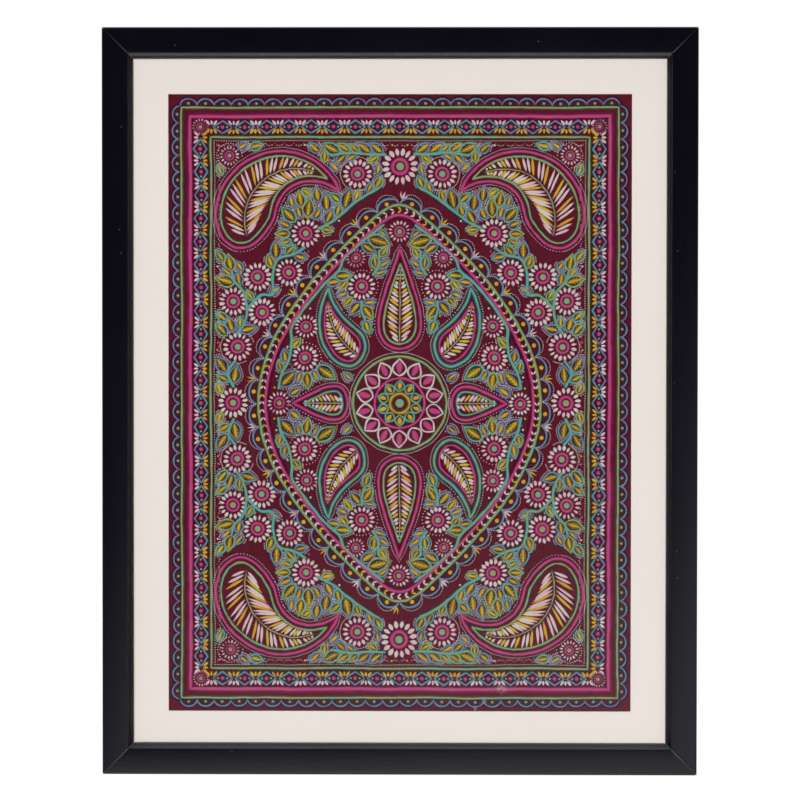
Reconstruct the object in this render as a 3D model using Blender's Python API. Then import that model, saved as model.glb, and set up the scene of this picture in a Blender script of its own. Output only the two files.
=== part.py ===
"""A framed rogan painting: four mitred rails, a glass pane, a window mat, painted cloth and a board.

The frame hangs upright. X runs across it, Z up, and it faces -Y. The origin is the middle of the
top rail's back face, which lies on the wall. Metres.
"""
import math

import bmesh
import bpy
from mathutils import Vector

# The mat's window is what shows of the cloth, an opening of 12 by 16 inches
WINDOW_WIDTH = 0.3048
WINDOW_HEIGHT = 0.4064
WINDOW_DROP = 0.0011
REVEAL_SIDE = 0.0225
REVEAL_END = 0.0215

# Section of the moulding
RAIL_WIDTH = 0.0200
RAIL_DEPTH = 0.0220
FACE_WIDTH = 0.0172
LIP_DROP = 0.0030
LIP_THICKNESS = 0.0060
RABBET_WIDTH = 0.0100
OUTER_ROUNDING = 0.0012
ARRIS_ROUNDING = 0.0006
ROUNDING_STEPS = 5

# What lies in the rabbet
CLEARANCE = 0.0003
RABBET_PLAY = 0.0015
GLASS_THICKNESS = 0.0020
MAT_THICKNESS = 0.0015
CLOTH_THICKNESS = 0.0010
BOARD_THICKNESS = 0.0030
CLOTH_TUCK = 0.0100

# Raised lines of paint: how far they stand above the cloth, sink into it, and narrow at the crest,
# and how far a sharp corner's edge may run out, as 1 over this share
PAINT_HEIGHT = 0.0006
PAINT_ROOT = 0.0004
CREST_SHARE = 0.55
CORNER_SHARE = 0.4

GUARD_LINES = [
    {"inset": 0.0085, "width": 0.0016},
    {"inset": 0.0144, "width": 0.0026},
    {"inset": 0.0280, "width": 0.0016},
]

MEDALLION_HALF_WIDTH = 0.0930
MEDALLION_HALF_HEIGHT = 0.1310
MEDALLION_PINCH = 0.58
MEDALLION_STEPS = 96
MEDALLION_RINGS = [
    {"scale": 1.000, "width": 0.0019},
    {"scale": 0.950, "width": 0.0019},
]

CORE_STEPS = 48
CORE_RINGS = [
    {"radius": 0.0310, "width": 0.0017},
    {"radius": 0.0165, "width": 0.0017},
    {"radius": 0.0065, "width": 0.0017},
]

# Drops and paisleys: where the round end starts, the way it points, its length and its bend.
# The points of the outline stand closer together towards the round end.
DROP_STEPS = 20
DROP_CROWDING = 1.5
DROP_LINE = 0.0018
DROPS = [
    {"x": 0.0000, "z": 0.0360, "heading": 90, "length": 0.0660, "half_width": 0.0140, "bend": 0},
    {"x": 0.0345, "z": 0.0000, "heading": 0, "length": 0.0360, "half_width": 0.0110, "bend": 0},
    {"x": 0.0250, "z": 0.0300, "heading": 30, "length": 0.0540, "half_width": 0.0125, "bend": 70},
    {"x": 0.0980, "z": 0.1040, "heading": 62, "length": 0.1040, "half_width": 0.0195, "bend": 175},
]

OUTER_WIDTH = WINDOW_WIDTH + 2 * (REVEAL_SIDE + RAIL_WIDTH)
OUTER_HEIGHT = WINDOW_HEIGHT + 2 * (REVEAL_END + RAIL_WIDTH)
BACK_STRIP = RAIL_WIDTH - RABBET_WIDTH
PANE_WIDTH = OUTER_WIDTH - 2 * (BACK_STRIP + RABBET_PLAY)
PANE_HEIGHT = OUTER_HEIGHT - 2 * (BACK_STRIP + RABBET_PLAY)
CENTRE_Z = (BACK_STRIP - OUTER_HEIGHT) / 2
WINDOW_Z = CENTRE_Z - WINDOW_DROP


def clear_scene():
    for old in list(bpy.data.objects):
        bpy.data.objects.remove(old, do_unlink=True)


def make_material(name, colour, roughness, metallic=0.0, transmission=0.0):
    material = bpy.data.materials.new(name)
    material.use_nodes = True
    shader = material.node_tree.nodes["Principled BSDF"]
    shader.inputs["Base Color"].default_value = (*colour, 1.0)
    shader.inputs["Roughness"].default_value = roughness
    shader.inputs["Metallic"].default_value = metallic
    shader.inputs["Transmission Weight"].default_value = transmission
    material.diffuse_color = (*colour, 1.0)
    return material


def make_object(name, shape, material=None):
    """An object of this bmesh, in the scene."""
    bmesh.ops.recalc_face_normals(shape, faces=shape.faces)
    mesh = bpy.data.meshes.new(name)
    shape.to_mesh(mesh)
    shape.free()
    if material:
        mesh.materials.append(material)
    piece = bpy.data.objects.new(name, mesh)
    bpy.context.scene.collection.objects.link(piece)
    return piece


def rounded(before, corner, after, radius):
    """The arc that rounds a corner of an outline, as points from one tangent to the other."""
    before, corner, after = Vector(before), Vector(corner), Vector(after)
    inward = (before - corner).normalized()
    onward = (after - corner).normalized()
    half_angle = inward.angle(onward) / 2
    centre = corner + (inward + onward).normalized() * radius / math.sin(half_angle)
    start = corner + inward * radius / math.tan(half_angle) - centre
    end = corner + onward * radius / math.tan(half_angle) - centre
    points = []
    for step in range(ROUNDING_STEPS + 1):
        outward = start.lerp(end, step / ROUNDING_STEPS).normalized()
        points.append(tuple(centre + outward * radius))
    return points


def moulding_section():
    """The moulding's outline: pairs of distance in from the outer edge, and depth."""
    back = (0.0, 0.0)
    outer_edge = (0.0, -RAIL_DEPTH)
    arris = (FACE_WIDTH, -RAIL_DEPTH)
    sight_edge = (RAIL_WIDTH, LIP_DROP - RAIL_DEPTH)
    lip = (RAIL_WIDTH, LIP_THICKNESS - RAIL_DEPTH)
    return [
        back,
        *rounded(back, outer_edge, arris, OUTER_ROUNDING),
        *rounded(outer_edge, arris, sight_edge, ARRIS_ROUNDING),
        *rounded(arris, sight_edge, lip, ARRIS_ROUNDING),
        lip,
        (BACK_STRIP, LIP_THICKNESS - RAIL_DEPTH),
        (BACK_STRIP, 0.0),
    ]


def make_rail(name, length, offset, turn, material):
    """A rail whose outer edge lies offset from the frame's middle, turned about Y into its place."""
    shape = bmesh.new()
    mitre_gap = CLEARANCE / math.sqrt(2)
    ends = []
    for side in (-1, 1):
        loop = []
        for across, depth in moulding_section():
            x = side * (length / 2 - across - mitre_gap)
            loop.append(shape.verts.new((x, depth, offset - across)))
        ends.append(loop)
        shape.faces.new(loop)
    bmesh.ops.bridge_loops(shape, edges=shape.edges[:])
    rail = make_object(name, shape, material)
    rail.location = (0.0, 0.0, CENTRE_Z)
    rail.rotation_euler = (0.0, math.radians(turn), 0.0)
    return rail


def make_rails(material):
    make_rail("rail_top", OUTER_WIDTH, OUTER_HEIGHT / 2, 0, material)
    make_rail("rail_right", OUTER_HEIGHT, OUTER_WIDTH / 2, 90, material)
    make_rail("rail_bottom", OUTER_WIDTH, OUTER_HEIGHT / 2, 180, material)
    make_rail("rail_left", OUTER_HEIGHT, OUTER_WIDTH / 2, 270, material)


def rectangle(width, height, centre_z, y):
    """The four corners of an upright rectangle that faces -Y."""
    signs = [(-1, -1), (1, -1), (1, 1), (-1, 1)]
    return [(sx * width / 2, y, centre_z + sz * height / 2) for sx, sz in signs]


def make_plate(name, width, height, front, thickness, material):
    shape = bmesh.new()
    corners = [shape.verts.new(point) for point in rectangle(width, height, CENTRE_Z, front)]
    face = shape.faces.new(corners)
    swept = bmesh.ops.extrude_face_region(shape, geom=[face])
    moved = [item for item in swept["geom"] if isinstance(item, bmesh.types.BMVert)]
    bmesh.ops.translate(shape, verts=moved, vec=(0.0, thickness, 0.0))
    return make_object(name, shape, material)


def make_mat(front, material):
    """The mat, whose window is cut straight through the board."""
    back = front + MAT_THICKNESS
    loops = [
        rectangle(PANE_WIDTH, PANE_HEIGHT, CENTRE_Z, front),
        rectangle(WINDOW_WIDTH, WINDOW_HEIGHT, WINDOW_Z, front),
        rectangle(WINDOW_WIDTH, WINDOW_HEIGHT, WINDOW_Z, back),
        rectangle(PANE_WIDTH, PANE_HEIGHT, CENTRE_Z, back),
    ]
    shape = bmesh.new()
    rings = [[shape.verts.new(point) for point in loop] for loop in loops]
    for ring, following in zip(rings, rings[1:] + rings[:1]):
        for here in range(4):
            there = (here + 1) % 4
            shape.faces.new((ring[here], ring[there], following[there], following[here]))
    return make_object("window_mat", shape, material)


def guard_line(inset):
    """A rectangle this far inside the window, as points on the cloth."""
    half_width = WINDOW_WIDTH / 2 - inset
    half_height = WINDOW_HEIGHT / 2 - inset
    signs = [(-1, -1), (1, -1), (1, 1), (-1, 1)]
    return [Vector((sx * half_width, sz * half_height)) for sx, sz in signs]


def medallion(scale):
    """The tall medallion's outline, an oval that is pinched towards its two tips."""
    points = []
    for step in range(MEDALLION_STEPS):
        turn = 2 * math.pi * step / MEDALLION_STEPS
        pinch = 1 - MEDALLION_PINCH * math.cos(turn) ** 2
        x = MEDALLION_HALF_WIDTH * math.sin(turn) * pinch
        points.append(Vector((scale * x, scale * MEDALLION_HALF_HEIGHT * math.cos(turn))))
    return points


def circle(radius):
    turns = [2 * math.pi * step / CORE_STEPS for step in range(CORE_STEPS)]
    return [Vector((radius * math.cos(turn), radius * math.sin(turn))) for turn in turns]


def drop(x, z, heading, length, half_width, bend):
    """A paisley's outline: one side from the round end to the tip, then the other side back."""
    left, right = [], []
    spine = Vector((x, z))
    before = 0.0
    for step in range(DROP_STEPS + 1):
        share = (step / DROP_STEPS) ** DROP_CROWDING
        turn = math.radians(heading + bend * share)
        along = Vector((math.cos(turn), math.sin(turn)))
        spine = spine + along * length * (share - before)
        before = share
        reach = half_width * math.sin(math.pi * math.sqrt(share))
        side = Vector((-along.y, along.x)) * reach
        left.append(spine + side)
        right.append(spine - side)
    return left + right[-2:0:-1]


def mirrored(points):
    """The outline in each quarter of the cloth. One that stands on a middle line isn't doubled."""
    middle = sum(points, Vector((0.0, 0.0))) / len(points)
    across = (1,) if abs(middle.x) < PAINT_HEIGHT else (1, -1)
    upward = (1,) if abs(middle.y) < PAINT_HEIGHT else (1, -1)
    return [[Vector((sx * p.x, sz * p.y)) for p in points] for sx in across for sz in upward]


def painted_outlines():
    """Each closed line of paint on the cloth, with its width."""
    lines = [(guard_line(row["inset"]), row["width"]) for row in GUARD_LINES]
    lines += [(medallion(row["scale"]), row["width"]) for row in MEDALLION_RINGS]
    lines += [(circle(row["radius"]), row["width"]) for row in CORE_RINGS]
    for row in DROPS:
        lines += [(outline, DROP_LINE) for outline in mirrored(drop(**row))]
    return lines


def side_step(before, here, after):
    """The way from a point of a line to the matching point of its edge, where the edge is 1 away."""
    first = (here - before).normalized()
    second = (after - here).normalized()
    normals = Vector((-first.y, first.x)), Vector((-second.y, second.x))
    middle = (normals[0] + normals[1]).normalized()
    return middle / max(middle.dot(normals[0]), CORNER_SHARE)


def add_ridge(shape, points, width, root, crest):
    """A closed ridge of paint along the points, wider at its root than at its crest."""
    section = [(-0.5, root), (-0.5 * CREST_SHARE, crest), (0.5 * CREST_SHARE, crest), (0.5, root)]
    rings = []
    for index, here in enumerate(points):
        step = side_step(points[index - 1], here, points[(index + 1) % len(points)])
        ring = []
        for share, y in section:
            place = here + step * width * share
            ring.append(shape.verts.new((place.x, y, WINDOW_Z + place.y)))
        rings.append(ring)
    for ring, following in zip(rings, rings[1:] + rings[:1]):
        for here in range(4):
            there = (here + 1) % 4
            shape.faces.new((ring[here], ring[there], following[there], following[here]))


def make_paint(cloth_front):
    """All the raised lines in one cutter, which the cloth is joined with."""
    shape = bmesh.new()
    for points, width in painted_outlines():
        add_ridge(shape, points, width, cloth_front + PAINT_ROOT, cloth_front - PAINT_HEIGHT)
    paint = make_object("raised_paint", shape)
    paint.hide_render = True
    paint.display_type = "WIRE"
    return paint


def make_cloth(front, material):
    width = WINDOW_WIDTH + 2 * CLOTH_TUCK
    height = WINDOW_HEIGHT + 2 * CLOTH_TUCK
    cloth = make_plate("painted_cloth", width, height, front, CLOTH_THICKNESS, material)
    union = cloth.modifiers.new("raised_paint", "BOOLEAN")
    union.operation = "UNION"
    union.object = make_paint(front)
    return cloth


def main():
    clear_scene()
    lacquer = make_material("black_lacquer", (0.005, 0.005, 0.008), 0.35)
    glass = make_material("clear_glass", (0.90, 0.94, 0.92), 0.05, transmission=1.0)
    card = make_material("cream_board", (0.80, 0.76, 0.70), 0.90)
    burgundy = make_material("burgundy_cloth", (0.080, 0.008, 0.021), 0.85)
    kraft = make_material("brown_board", (0.30, 0.17, 0.08), 0.90)

    make_rails(lacquer)
    depth = LIP_THICKNESS - RAIL_DEPTH + CLEARANCE
    make_plate("glass_pane", PANE_WIDTH, PANE_HEIGHT, depth, GLASS_THICKNESS, glass)
    depth += GLASS_THICKNESS + CLEARANCE
    make_mat(depth, card)
    depth += MAT_THICKNESS + CLEARANCE
    make_cloth(depth, burgundy)
    depth += CLOTH_THICKNESS + CLEARANCE
    make_plate("backing_board", PANE_WIDTH, PANE_HEIGHT, depth, BOARD_THICKNESS, kraft)


main()
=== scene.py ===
import math

import bpy
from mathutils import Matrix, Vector, noise


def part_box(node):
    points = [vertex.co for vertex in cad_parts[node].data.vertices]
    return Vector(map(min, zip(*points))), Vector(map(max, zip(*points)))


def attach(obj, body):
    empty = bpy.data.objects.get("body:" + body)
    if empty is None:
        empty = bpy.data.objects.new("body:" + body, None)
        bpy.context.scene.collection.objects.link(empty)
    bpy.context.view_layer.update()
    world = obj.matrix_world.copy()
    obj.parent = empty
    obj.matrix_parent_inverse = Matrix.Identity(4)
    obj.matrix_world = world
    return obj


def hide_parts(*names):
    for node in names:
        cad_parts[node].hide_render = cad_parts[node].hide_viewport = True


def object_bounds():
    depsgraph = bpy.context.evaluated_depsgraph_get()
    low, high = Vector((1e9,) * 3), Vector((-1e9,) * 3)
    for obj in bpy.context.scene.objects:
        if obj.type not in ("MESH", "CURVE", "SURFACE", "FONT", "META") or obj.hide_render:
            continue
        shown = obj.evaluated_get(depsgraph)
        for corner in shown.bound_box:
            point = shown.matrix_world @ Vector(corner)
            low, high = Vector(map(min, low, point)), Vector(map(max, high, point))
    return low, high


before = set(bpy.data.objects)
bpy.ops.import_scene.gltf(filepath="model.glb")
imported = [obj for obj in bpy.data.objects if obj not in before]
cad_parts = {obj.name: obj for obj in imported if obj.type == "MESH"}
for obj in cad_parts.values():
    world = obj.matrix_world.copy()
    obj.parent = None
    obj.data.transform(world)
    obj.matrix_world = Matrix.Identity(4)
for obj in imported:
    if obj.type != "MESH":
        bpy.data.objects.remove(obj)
cadLow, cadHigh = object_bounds()
print("frame loaded, CAD box", [round(v, 4) for v in (*cadLow, *cadHigh)])

# Where the CAD pieces lie: the cloth's front, and the middle of the mat's window
clothLow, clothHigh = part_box("painted_cloth")
matLow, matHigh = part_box("window_mat")
panels = {
    "clothFront": clothHigh.y - 0.0010,      # the sheet's front, behind the raised lines
    "middle": (clothLow.z + clothHigh.z) / 2,
    "windowMiddle": (clothLow.z + clothHigh.z) / 2 - 0.0011,     # a little below the frame's
    "windowWidth": 0.3048,
    "windowHeight": 0.4064,
}


class Wire:  # a node's output that can be calculated with
    def __init__(self, graph, socket):
        self.graph = graph
        self.socket = socket

    def __add__(self, other):
        return self.graph.maths("ADD", self, other)

    def __sub__(self, other):
        return self.graph.maths("SUBTRACT", self, other)

    def __rsub__(self, other):
        return self.graph.maths("SUBTRACT", other, self)

    def __mul__(self, other):
        return self.graph.maths("MULTIPLY", self, other)

    def __pow__(self, other):
        return self.graph.maths("POWER", self, other)

    __radd__, __rmul__ = __add__, __mul__


class Graph:  # the nodes of one material, or of the world
    def __init__(self, owner):
        owner.use_nodes = True
        self.owner = owner
        self.tree = owner.node_tree

    def add(self, kind, settings=None, inputs=None, out=0):
        node = self.tree.nodes.new(kind)
        for key, value in (settings or {}).items():
            setattr(node, key, value)
        for key, value in (inputs or {}).items():
            self.plug(node.inputs[key], value)
        return Wire(self, node.outputs[out])

    def plug(self, socket, value):
        if isinstance(value, Wire):
            self.tree.links.new(value.socket, socket)
        elif isinstance(value, tuple) and len(value) == 3 and socket.type == "RGBA":
            socket.default_value = (*value, 1.0)
        else:
            socket.default_value = value

    def maths(self, operation, *values):
        return self.add("ShaderNodeMath", {"operation": operation}, dict(enumerate(values)))

    def place(self):
        return self.add("ShaderNodeTexCoord", out="Object")

    def axis(self, vector, letter):
        return self.add("ShaderNodeSeparateXYZ", inputs={0: vector}, out=letter)

    def stretch(self, vector, scale):
        return self.add("ShaderNodeMapping", inputs={"Vector": vector, "Scale": scale})

    def grain(self, vector, scale, detail=2.0, rough=0.5):  # noise about 0.5
        values = {"Vector": vector, "Scale": scale, "Detail": detail, "Roughness": rough}
        return self.add("ShaderNodeTexNoise", inputs=values)

    def streaks(self, vector, stretch, *look):
        return self.grain(self.stretch(vector, stretch), *look)

    def step(self, value, low, high):  # 0 below low, 1 above high, smooth between
        values = {"Value": value, "From Min": low, "From Max": high}
        return self.add("ShaderNodeMapRange", {"interpolation_type": "SMOOTHSTEP"}, values)

    def size(self, value):
        return self.maths("ABSOLUTE", value)

    def wave(self, value):
        return self.maths("SINE", value)

    def least(self, first, second):
        return self.maths("MINIMUM", first, second)

    def most(self, first, second):
        return self.maths("MAXIMUM", first, second)

    def blend(self, factor, first, second):  # one colour over another
        return self.add("ShaderNodeMix", {"data_type": "RGBA"}, {0: factor, 6: first, 7: second}, out=2)

    def bump(self, height, depth, strength=1.0):
        values = {"Height": height, "Distance": depth, "Strength": strength}
        return self.add("ShaderNodeBump", inputs=values)

    def surface(self, colour, rough, relief=None, specular=0.5):
        shader = self.tree.nodes["Principled BSDF"]
        self.plug(shader.inputs["Base Color"], colour)
        self.plug(shader.inputs["Roughness"], rough)
        self.plug(shader.inputs["Specular IOR Level"], specular)
        if relief:
            self.plug(shader.inputs["Normal"], relief)
        return self.owner


def newGraph(name):
    return Graph(bpy.data.materials.new(name))


def choose(*pieces):  # selects these alone, or nothing, with the first one active
    if bpy.context.object and bpy.context.object.mode != "OBJECT":
        bpy.ops.object.mode_set(mode="OBJECT")
    bpy.ops.object.select_all(action="DESELECT")
    for piece in pieces:
        piece.select_set(True)
        bpy.context.view_layer.objects.active = pieces[0]


def newObject(name, data):
    piece = bpy.data.objects.new(name, data)
    bpy.context.scene.collection.objects.link(piece)
    return piece


def joined(pieces, name):
    choose(*pieces)
    bpy.ops.object.join()
    pieces[0].name = pieces[0].data.name = name
    return pieces[0]


def finish(piece, material):
    piece.data.materials.clear()
    piece.data.materials.append(material)


def dress(piece, material, slotName):  # its finish, and the CAD body it rides on; slotName is not used
    finish(piece, material)
    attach(piece, "root")


# Rails

lacquer = {
    "black": (0.0018, 0.0017, 0.0040),
    "dull": (0.0030, 0.0027, 0.0056),
    # colour of the pale dust specks and of the painted highlight on the top rail's arris
    "dustAndHighlight": (0.0900, 0.0880, 0.0980),
    "back": (0.0200, 0.0170, 0.0150),
    "faceWidth": 0.0172,        # from the outer edge to the arris
    "crown": 3.6,               # the face is slightly rounded across, and rolls over at the arris
    "roll": 300.0,
    "rollWidth": 0.0009,
    "rollEnd": 0.0174,
    "slope": (0.0181, 0.0193),  # where the duller slope down to the sight edge starts
    "highlightAt": 0.0180,         # a painted highlight along the top rail's arris, its core and its reach
    "highlightWidth": (0.0002, 0.0009),
    "streaks": 900.0,           # brushed streaks a metre, and how far they are drawn out
    "drawnOut": 0.05,
    "streakDepth": 0.000045,
    "fineDepth": 0.000020,
    "speckCells": 55.0,         # cells a metre; few of them hold a speck
    "speckSize": 0.034,
    "speckShare": (0.86, 0.88),
    "rough": {"all": 0.12, "broad": 0.05, "brushed": 0.14, "slope": 0.25, "back": 0.40},
}


def lacquerMaterial():
    graph = newGraph("blackLacquer")
    spot = graph.place()
    halfWidth = (cadHigh.x - cadLow.x) / 2
    halfHeight = (cadHigh.z - cadLow.z) / 2
    middle = panels["middle"]
    fromSide = halfWidth - graph.size(graph.axis(spot, "X"))
    fromEnd = halfHeight - graph.size(graph.axis(spot, "Z") - middle)
    inward = graph.least(fromSide, fromEnd)

    broad = graph.grain(spot, 14.0, 3.0)
    patchy = graph.grain(spot, 160.0, 4.0, 0.65)
    fine = graph.grain(spot, 1500.0, 2.0)
    upright = graph.step(fromEnd - fromSide, -0.0001, 0.0001)   # the left and right rails
    brushedUp = graph.streaks(spot, (1.0, 1.0, lacquer["drawnOut"]), lacquer["streaks"], 3.0, 0.65)
    brushedAcross = graph.streaks(spot, (lacquer["drawnOut"], 1.0, 1.0), lacquer["streaks"], 3.0, 0.65)
    brushed = upright * brushedUp + (1 - upright) * brushedAcross

    across, up = graph.axis(spot, "X"), graph.axis(spot, "Z")
    flat = graph.add("ShaderNodeCombineXYZ", inputs={0: across, 1: up})
    cells = {"Vector": flat, "Scale": lacquer["speckCells"]}
    plane = {"voronoi_dimensions": "2D"}
    speck = 1 - graph.step(graph.add("ShaderNodeTexVoronoi", plane, cells), 0.0, lacquer["speckSize"])
    chance = graph.add("ShaderNodeTexVoronoi", plane, cells, out="Color")
    chance = graph.add("ShaderNodeSeparateColor", inputs={0: chance})
    speck = speck * graph.step(chance, *lacquer["speckShare"])

    onBack = graph.step(graph.axis(spot, "Y"), -0.0006, -0.0002)
    colour = graph.blend(graph.step(broad, 0.3, 0.8), lacquer["black"], lacquer["dull"])
    onTop = graph.step(graph.axis(spot, "Z"), middle, middle + 0.001) * (1 - upright)
    # painted highlight: a pale line along the top rail's arris only, in place of light reflected there
    arrisHighlight = 1 - graph.step(graph.size(inward - lacquer["highlightAt"]), *lacquer["highlightWidth"])
    arrisHighlight = arrisHighlight * (0.35 + patchy) * onTop
    colour = graph.blend(graph.most(speck, graph.least(arrisHighlight, 1.0)), colour, lacquer["dustAndHighlight"])
    colour = graph.blend(onBack, colour, lacquer["back"])

    slope = graph.step(inward, *lacquer["slope"])
    shares = lacquer["rough"]
    rough = shares["all"] + broad * shares["broad"] + brushed * shares["brushed"]
    rough = rough + slope * shares["slope"] + onBack * shares["back"]
    off = inward - lacquer["faceWidth"] / 2
    over = graph.most(inward - lacquer["rollEnd"] + lacquer["rollWidth"], 0.0)
    over = graph.least(over, lacquer["rollWidth"])
    profile = fine * lacquer["fineDepth"] + brushed * lacquer["streakDepth"]
    profile = profile - off * off * lacquer["crown"] - over * over * lacquer["roll"]
    relief = graph.bump(profile, 1.0)
    return graph.surface(colour, rough, relief)


# Glue in the four mitres, as wide as the gap between two rails

joint = {
    "thick": 0.00028,
    "strips": [                 # inwards from the rim, and in depth from the front
        (0.0008, 0.0094, 0.00040, 0.0214),
        (0.0090, 0.0168, 0.00035, 0.0056),
        (0.0160, 0.0197, 0.0034, 0.0056),
    ],
    "glue": (0.020, 0.019, 0.022),
    "pale": (0.210, 0.190, 0.185),
    "paleInwards": (0.004, 0.018),      # it grows paler from the rim to the sight edge
    "paintedLightBelow": (-0.480, -0.440),      # and paler still in the two lower corners, as painted light from below
}


def jointMaterial():
    graph = newGraph("mitreGlue")
    spot = graph.place()
    inward = (cadHigh.x - cadLow.x) / 2 - graph.size(graph.axis(spot, "X"))
    patchy = graph.grain(spot, 300.0, 3.0, 0.6)
    # painted light: the glue is made paler in the two lower corners, as if lit from below
    low = 1 - graph.step(graph.axis(spot, "Z"), *joint["paintedLightBelow"])
    pale = graph.step(inward, *joint["paleInwards"]) * (0.25 + patchy * 0.9)
    pale = graph.least(pale + low * 0.30, 1.0)
    colour = graph.blend(pale, joint["glue"], joint["pale"])
    return graph.surface(colour, 0.6)


def makeJoints():
    choose()
    strips = []
    for sideX in (1, -1):
        for sideZ in (1, -1):
            corner = Vector((cadHigh.x * sideX, 0.0, cadHigh.z if sideZ == 1 else cadLow.z))
            for near, far, front, back in joint["strips"]:
                across, depth = (near + far) / 2, (front + back) / 2
                place = corner + Vector((-across * sideX, cadLow.y + depth, -across * sideZ))
                bpy.ops.mesh.primitive_cube_add(size=1.0, location=place)
                strip = bpy.context.object
                strip.scale = ((far - near) * math.sqrt(2), back - front, joint["thick"])
                strip.rotation_euler = (0.0, math.radians(-45 * sideX * sideZ), 0.0)
                strips.append(strip)
    choose(*strips)
    bpy.ops.object.transform_apply(location=True, rotation=True, scale=True)
    piece = joined(strips, "mitre_glue")
    dress(piece, jointMaterial(), "frame_lacquer")


# Mat

board = {
    "cream": (0.870, 0.765, 0.728),
    "warm": (0.850, 0.745, 0.700),
    "core": (0.900, 0.840, 0.820),
    "tooth": 1400.0,
    "toothDepth": 0.00006,
}


def boardMaterial():
    graph = newGraph("creamBoard")
    spot = graph.place()
    depth = graph.axis(spot, "Y")
    cloudy = graph.grain(spot, 9.0, 3.0)
    fibre = graph.streaks(spot, (1.0, 1.0, 3.0), 420.0, 4.0, 0.6)
    tooth = graph.grain(spot, board["tooth"], 3.0, 0.6)
    core = graph.step(depth, matLow.y + 0.00008, matLow.y + 0.00016)
    core = core * (1 - graph.step(depth, matHigh.y - 0.00016, matHigh.y - 0.00008))
    colour = graph.blend(graph.step(cloudy, 0.35, 0.8) * 0.35, board["cream"], board["warm"])
    colour = graph.blend(graph.step(fibre, 0.45, 0.85) * 0.12, colour, board["core"])
    colour = graph.blend(core, colour, board["core"])
    relief = graph.bump(tooth, board["toothDepth"], 0.6)
    return graph.surface(colour, 0.92, relief)


# Glass

pane = {
    "clear": (0.985, 0.995, 0.990),
    "mirror": 0.016,            # reflected by each face when seen straight on, and more on the slant
    "slantMirror": 0.6,
    "smear": (0.85, 0.85, 0.88),
    "smearShare": 0.45,
    "dust": 0.002,
    "smears": [(0.0675, -0.4280, 0.0050), (0.0560, -0.4370, 0.0026), (0.0500, -0.4420, 0.0020)],
}


def glassMaterial():
    graph = newGraph("clearGlass")
    spot = graph.place()
    graph.tree.nodes.remove(graph.tree.nodes["Principled BSDF"])
    clear = graph.add("ShaderNodeBsdfTransparent", inputs={"Color": pane["clear"]})
    mirror = graph.add("ShaderNodeBsdfGlossy", inputs={"Color": (1.0, 1.0, 1.0), "Roughness": 0.03})
    film = graph.add("ShaderNodeBsdfDiffuse", inputs={"Color": pane["smear"]})
    slant = graph.add("ShaderNodeLayerWeight", inputs={"Blend": 0.5}, out="Facing")
    gloss = slant ** 5.0 * pane["slantMirror"] + pane["mirror"]
    glass = graph.add("ShaderNodeMixShader", inputs={0: gloss, 1: clear, 2: mirror})

    across, up = graph.axis(spot, "X"), graph.axis(spot, "Z")
    streak = graph.streaks(spot, (1.0, 1.0, 0.35), 900.0, 3.0, 0.7)
    haze = pane["dust"] * graph.step(graph.grain(spot, 30.0, 4.0), 0.35, 0.75)
    for x, z, reach in pane["smears"]:
        near = ((across - x) * (across - x) + (up - z) * (up - z)) ** 0.5
        smear = (1 - graph.step(near, 0.0, reach)) * graph.step(streak, 0.4, 0.8)
        haze = haze + smear * pane["smearShare"]
    glass = graph.add("ShaderNodeMixShader", inputs={0: haze, 1: glass, 2: film})
    graph.tree.links.new(glass.socket, graph.tree.nodes["Material Output"].inputs["Surface"])
    return graph.owner


# Backing board

backing = {
    "brown": (0.290, 0.175, 0.085),
    "dark": (0.170, 0.095, 0.045),
    "pale": (0.420, 0.290, 0.160),
}


def backingMaterial():
    graph = newGraph("brownFibreBoard")
    spot = graph.place()
    cloudy = graph.grain(spot, 7.0, 3.0)
    mottle = graph.grain(spot, 130.0, 5.0, 0.7)
    fibre = graph.streaks(spot, (1.0, 1.0, 6.0), 150.0, 5.0, 0.75)
    flecks = graph.streaks(spot, (7.0, 1.0, 1.0), 120.0, 3.0, 0.6)
    colour = graph.blend(graph.step(cloudy, 0.3, 0.75) * 0.25, backing["brown"], backing["dark"])
    colour = graph.blend(graph.step(mottle, 0.40, 0.70) * 0.45, colour, backing["pale"])
    colour = graph.blend(graph.step(fibre, 0.55, 0.72) * 0.55, colour, backing["pale"])
    colour = graph.blend(graph.step(flecks, 0.60, 0.70) * 0.75, colour, backing["dark"])
    relief = graph.bump(fibre, 0.0002, 0.6)
    return graph.surface(colour, 0.85, relief)


# Cloth

cloth = {
    "sheet": 0.0006,            # thickness of the woven sheet itself
    "tuck": 0.0100,             # cloth under the mat on each side
    "columns": 110,
    "rows": 144,
    "pucker": 0.00004,          # how far it lies out of true
    "puckerScale": 22.0,
    "thread": 0.00046,          # pitch of the weave
    "burgundy": (0.1180, 0.0100, 0.0240),
    "deep": (0.0800, 0.0060, 0.0155),
    "bright": (0.1520, 0.0160, 0.0340),
}
clothFlat = (panels["windowWidth"] + 2 * cloth["tuck"], panels["windowHeight"] + 2 * cloth["tuck"])


def puckerAt(x, z):  # the cloth's slight unevenness, in depth
    place = Vector((x, 0.0, z)) * cloth["puckerScale"]
    return cloth["pucker"] * noise.noise(place)


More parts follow.
